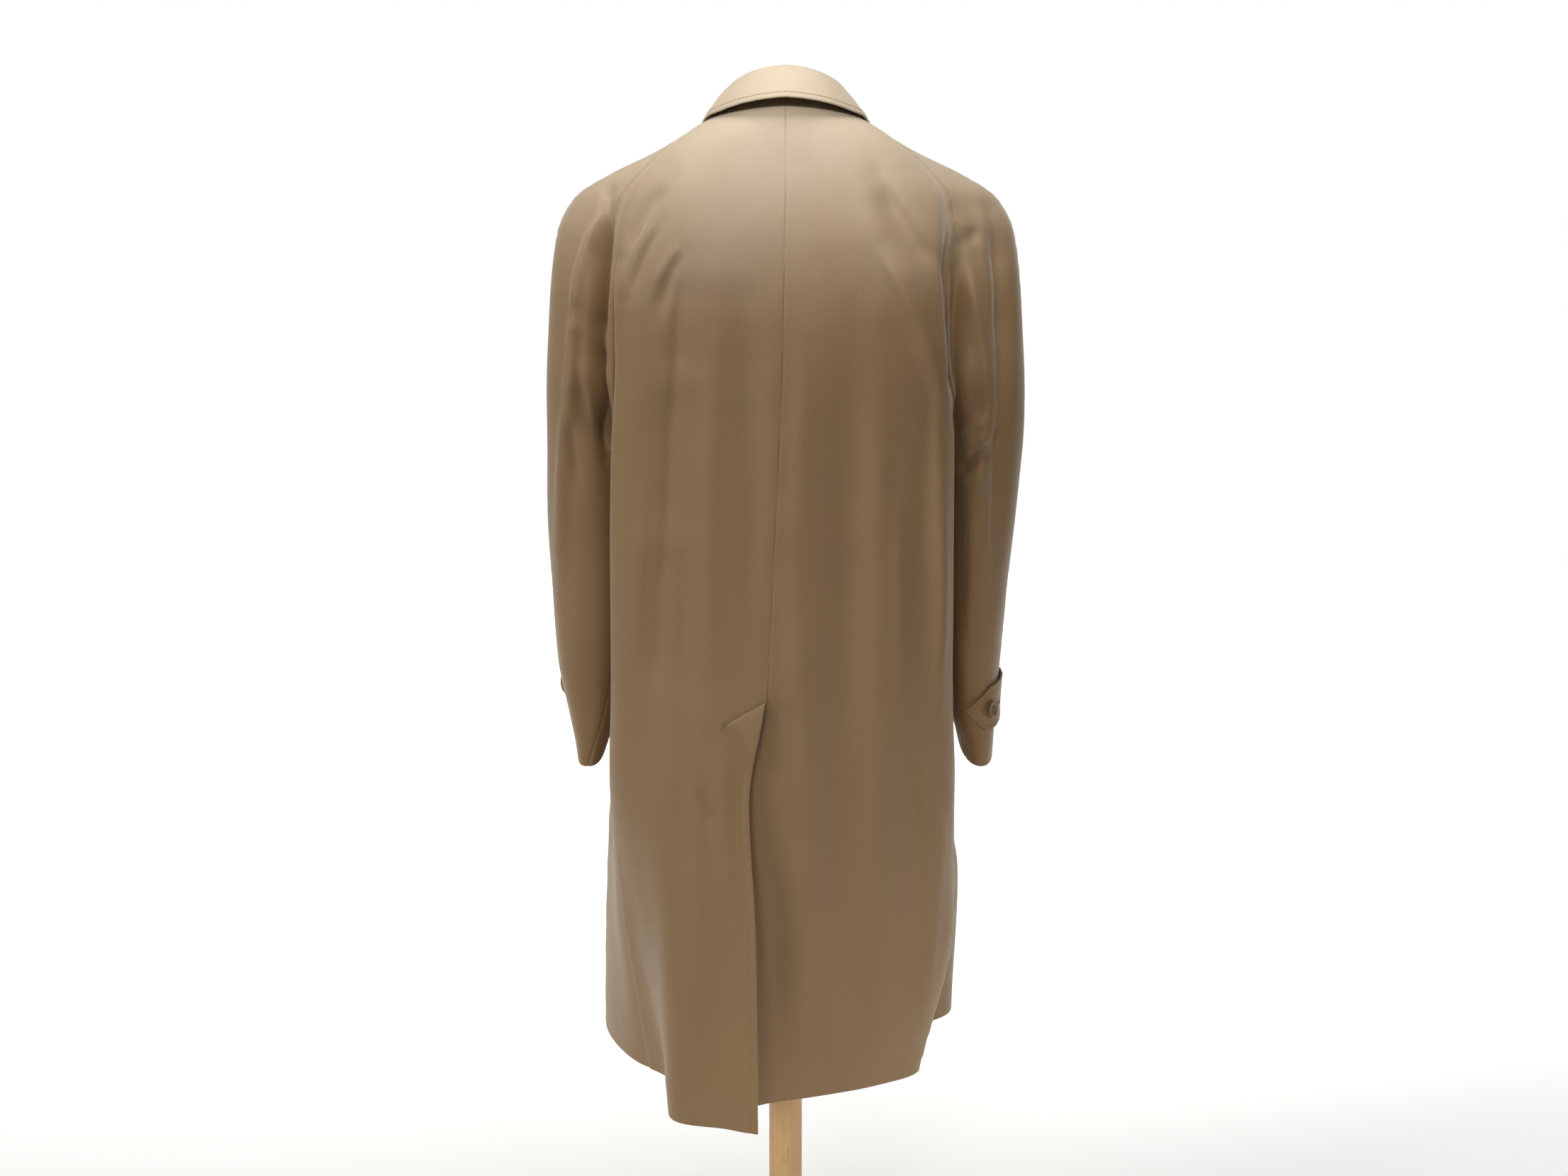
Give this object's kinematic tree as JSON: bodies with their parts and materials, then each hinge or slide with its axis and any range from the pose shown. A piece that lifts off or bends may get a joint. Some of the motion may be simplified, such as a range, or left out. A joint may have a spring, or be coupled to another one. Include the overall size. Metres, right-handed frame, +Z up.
{
  "type": "trench coat on a dress form with a stand",
  "caption": "Single-breasted raglan coat with a turn-down collar, back vent and buttoned cuff tabs, hung on a limbless dress form with a pole and round base.",
  "frame": {"origin": "centre of the base's underside, where the stand meets the floor", "axes": "+Z up along the pole, +X towards the wearer's left, +Y towards the back of the coat, so the front faces -Y"},
  "size_m": [0.5329, 0.4189, 1.535],
  "materials": {
    "coat_cotton": "matt khaki cotton gabardine",
    "button_horn": "satin mottled brown",
    "form_linen": "matt off-white linen cover",
    "beech_wood": "satin clear lacquer"
  },
  "bodies": {
    "root": {"back_left": "coat_cotton", "back_right": "coat_cotton", "front_left": "coat_cotton", "front_right": "coat_cotton", "sleeve_back_left": "coat_cotton", "sleeve_front_left": "coat_cotton", "sleeve_back_right": "coat_cotton", "sleeve_front_right": "coat_cotton", "collar": "coat_cotton", "cuff_tab_left": "coat_cotton", "cuff_tab_right": "coat_cotton", "cuff_button_left": "button_horn", "cuff_button_right": "button_horn", "front_button_1": "button_horn", "front_button_2": "button_horn", "front_button_3": "button_horn", "front_button_4": "button_horn", "front_button_5": "button_horn", "form_torso": "form_linen", "pole": "beech_wood", "base": "beech_wood"}
  },
  "joints": []
}
